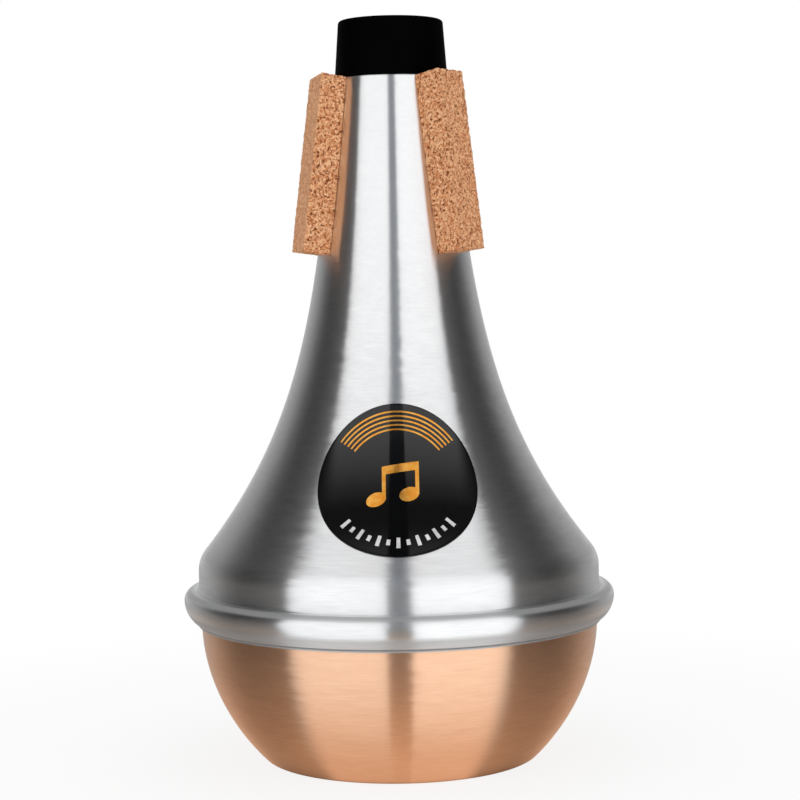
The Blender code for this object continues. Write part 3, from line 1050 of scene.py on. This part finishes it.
GAP_BY_TILT = (
    (-4.0, 0.11), (5.0, 0.12), (12.0, 0.145), (25.0, 0.36), (36.0, 0.46), (43.0, 0.14),
    (50.0, 0.07), (66.0, 0.05), (80.0, 0.07), (100.0, 0.15), (150.0, 0.17),
)
GAP_BY_HEIGHT = (
    (0.0, 0.25), (0.0006, 0.50), (0.0012, 0.74), (0.0035, 0.72), (0.006, 0.80), (0.012, 0.72),
    (0.020, 0.56), (0.0265, 0.38), (0.028, 0.18), (0.031, 0.21), (0.033, 0.25), (0.050, 0.16),
    (0.080, 0.14),
)
# Over how many degrees the softboxes fade out inside their outer edges
FADE_BY_TILT = (
    (-4.0, 0.8), (20.0, 1.2), (36.0, 4.0), (50.0, 9.0), (70.0, 9.0), (85.0, 5.0), (95.0, 2.0),
)
FADE_BY_HEIGHT = ((0.0, 9.0), (0.006, 8.0), (0.020, 7.0), (0.033, 3.5), (0.050, 1.0))
# How far the light on the floor is tinted by the copper over it, beside the mute and in front of it
BESIDE_WARMTH = ((0.0, 1.0), (0.015, 0.95), (0.028, 0.60), (0.033, 0.10), (0.040, 0.0))
FRONT_WARMTH = ((0.0, 1.0), (0.012, 0.80), (0.020, 0.18), (0.026, -0.10), (0.033, -0.12), (0.040, 0.0))
GAP_WARMTH = ((0.0, 1.0), (0.023, 1.0), (0.030, 0.6), (0.033, -0.3), (0.080, -0.3))
# The gap itself is a little blue
GAP_TINT = (0.93, 1.0, 1.10)
WARM = (0.0, -0.27, -0.46)


def mirrored(side, tilt):
    """Where a face turned sideways by side, and tilted up by half of tilt, mirrors the camera."""
    return Vector((
        sin(side) * cos(side) * (1 + cos(tilt)),
        sin(side) ** 2 - cos(side) ** 2 * cos(tilt),
        cos(side) * sin(tilt),
    ))


def on_floor(side, radius, height, droop):
    """The spot on the floor that the bowl mirrors at a height, where its face droops by an angle."""
    face = Vector((cos(droop) * sin(side), -cos(droop) * cos(side), -sin(droop)))
    spot = Vector((radius * sin(side), -radius * cos(side), height))
    sight = (spot - Vector((0.0, -CAMERA_DISTANCE, CAMERA_HEIGHT))).normalized()
    bounced = sight.reflect(face)
    reach = (height - FLOOR_CARD_HEIGHT) / max(-bounced.z, 0.03)
    return Vector((spot.x + reach * bounced.x, spot.y + reach * bounced.y, FLOOR_CARD_HEIGHT))


def read_off(pairs, value):
    """The level at a value, between the pairs of a list."""
    return float(np.interp(value, *zip(*pairs)))


def studio_card(name, spots, colours, lights):
    """A card from rows of corners, each with its own colour of light. It is not seen directly."""
    bm = bmesh.new()
    fill_rows(bm, [[bm.verts.new(spot) for spot in row] for row in spots], False)
    mesh = mesh_of(name, bm)
    glows = mesh.attributes.new("glow", "FLOAT_COLOR", "POINT")
    glows.data.foreach_set("color", np.ravel([[(*colour, 1.0) for colour in row] for row in colours]))
    card = placed(name, mesh)
    made = bpy.data.materials.new(name)
    made.use_nodes = True
    made.node_tree.nodes.clear()
    nodes = Nodes(made.node_tree)
    level = nodes.add("ShaderNodeAttribute", {}, attribute_name="glow")["Color"]
    glow = nodes.add("ShaderNodeEmission", {"Color": level})[0]
    nodes.add("ShaderNodeOutputMaterial", {"Surface": glow})
    mesh.materials.append(made)
    card.visible_camera = False
    card.visible_diffuse = lights
    card.visible_shadow = lights


def standing_card(name, edges, tilts, level_at, lights, tint=(1.0, 1.0, 1.0)):
    """A card on a dome round the mute, over the directions that the mute mirrors."""
    across = np.linspace(*edges, 49)
    up = np.linspace(*tilts, 60)
    spots = [
        [STUDIO_CENTRE + STUDIO_RADIUS * mirrored(radians(a), radians(b)) for a in across] for b in up
    ]
    colours = [[[level_at(abs(a), b) * part for part in tint] for a in across] for b in up]
    studio_card(name, spots, colours, lights)


def painted_floor_reflection(name, edges, level_at, warmth):
    """A sheet on the floor that only reflections see, over what the bowl and the foot of the wall mirror
    there: a painted reflection of the floor's light and shade.
    """
    across = np.linspace(*edges, 49)
    flank = np.array(bottom_line()[:-1])[::-1]
    slope = np.gradient(flank, axis=0)
    droops = np.arctan2(slope[:, 0], slope[:, 1])
    spots = []
    colours = []
    for height in FLOOR_ROWS:
        radius = np.interp(height, flank[:, 1], flank[:, 0]) if height < BOWL_TOP else WALL_RADIUS
        droop = np.interp(height, flank[:, 1], droops) if height < BOWL_TOP else 0.0
        spots.append([on_floor(radians(a), radius, height, droop) for a in across])
        tint = [1 + share * read_off(warmth, height) for share in WARM]
        colours.append([[level_at(abs(a), height) * part for part in tint] for a in across])
    studio_card(name, spots, colours, False)


def shaded_off(side, fade, bright, dark):
    """The level near a softbox's outer edge, which fades into the dark card beside it."""
    lit = float(np.clip((SOFTBOX_EDGE - side) / fade, 0.0, 1.0))
    lit = lit * lit * (3 - 2 * lit)
    return lit * bright + (1 - lit) * dark


def standing_level(side, tilt, brightness):
    """The level of a standing card at an azimuth and a tilt."""
    bright = brightness * read_off(SOFTBOX_BY_TILT, tilt)
    dark = read_off(DARK_BY_SIDE, side) + read_off(DARK_BY_TILT, tilt)
    return shaded_off(side, read_off(FADE_BY_TILT, tilt), bright, dark)


def lying_level(side, height, brightness):
    """The level of the painted floor reflection at an azimuth and a height on the bowl, low near the
    foot as painted contact shadow.
    """
    bright = brightness * read_off(SOFTBOX_BY_HEIGHT, height)
    dark = read_off(DARK_BY_SIDE, side) + read_off(DARK_BY_HEIGHT, height)
    return shaded_off(side, read_off(FADE_BY_HEIGHT, height), bright, dark)


for hand, (above, below) in ((-1, LEFT_SOFTBOX), (1, RIGHT_SOFTBOX)):
    bright = (hand * GAP_EDGE, hand * SOFTBOX_EDGE)
    dark = (hand * SOFTBOX_EDGE, hand * DARK_EDGE)
    standing_card("softbox", bright, SOFTBOX_TILTS, lambda a, b: standing_level(a, b, above), True)
    standing_card("dark_card", dark, DARK_TILTS, lambda a, b: standing_level(a, b, above), False)
    painted_floor_reflection("lit_floor_painted_reflection", bright, lambda a, h: lying_level(a, h, below), FRONT_WARMTH)
    painted_floor_reflection("floor_shade_painted_reflection", dark, lambda a, h: lying_level(a, h, below), BESIDE_WARMTH)
gap = (-GAP_EDGE, GAP_EDGE)
standing_card("gap_card", gap, DARK_TILTS, lambda a, b: read_off(GAP_BY_TILT, b), False, GAP_TINT)
painted_floor_reflection("gap_floor_painted_reflection", gap, lambda a, h: read_off(GAP_BY_HEIGHT, h), GAP_WARMTH)


def seen_directly(nodes):
    """1 for rays from the camera, rays mirrored by gloss and rays through glass, or else 0."""
    path = nodes.add("ShaderNodeLightPath", {})
    seen = nodes.maths("MAXIMUM", path["Is Camera Ray"], path["Is Glossy Ray"])
    return nodes.maths("MAXIMUM", seen, path["Is Transmission Ray"])


def studio_world():
    """White where it is seen, mirrored or looked through, and softer as a light."""
    world = bpy.data.worlds.new("white studio")
    bpy.context.scene.world = world
    world.use_nodes = True
    nodes = Nodes(world.node_tree)
    level = nodes.add("ShaderNodeMapRange", {"Value": seen_directly(nodes), "To Min": AMBIENT})[0]
    white = (1.0, 1.0, 1.0, 1.0)
    nodes.feed(world.node_tree.nodes["Background"], {"Color": white, "Strength": level})
    world.cycles.sampling_method = "NONE"


def studio_floor():
    """A pale matte floor that keeps the mute's shadow and fades into the white background."""
    bpy.ops.mesh.primitive_circle_add(vertices=96, radius=FLOOR_RADIUS, fill_type="NGON")
    floor = bpy.context.object
    floor.name = "floor"
    pale = Finish("pale floor", 0.9)
    pale.dress({"Base Color": (0.90, 0.90, 0.90, 1.0), "Specular IOR Level": 0.0})
    distance = pale.add("ShaderNodeVectorMath", {0: pale.spot}, operation="LENGTH")["Value"]
    away = pale.ranged(distance, *FLOOR_FADE, FLOOR_WHITE, 1.0)
    share = pale.maths("MULTIPLY", away, seen_directly(pale))
    white = pale.add("ShaderNodeEmission", {})[0]
    mix = pale.add("ShaderNodeMixShader", {0: share, 1: pale.shader.outputs[0], 2: white})[0]
    pale.feed(pale.tree.nodes["Material Output"], {"Surface": mix})
    floor.data.materials.append(pale.material)


studio_world()
studio_floor()

# The camera. It stands half a metre in front of the mute, two thirds of the way up it, as the
# photographer's did, and looks a little down.
CAMERA_DOWN = 0.0584
CAMERA_HEADING = 0.0018
CAMERA_ROLL = 0.0157
CAMERA_LENS = 95.84
camera = placed("camera", bpy.data.cameras.new("camera"))
camera.data.sensor_width = 36.0
camera.data.lens = CAMERA_LENS
camera.data.clip_start = 0.01
camera.location = (0.0, -CAMERA_DISTANCE, CAMERA_HEIGHT)
aim = Euler((pi / 2 - CAMERA_DOWN, 0.0, -CAMERA_HEADING), "XYZ").to_matrix()
roll = Euler((0.0, 0.0, -CAMERA_ROLL), "XYZ").to_matrix()
camera.rotation_euler = (aim @ roll).to_euler()
bpy.context.scene.camera = camera
bpy.context.scene.view_settings.view_transform = "Standard"
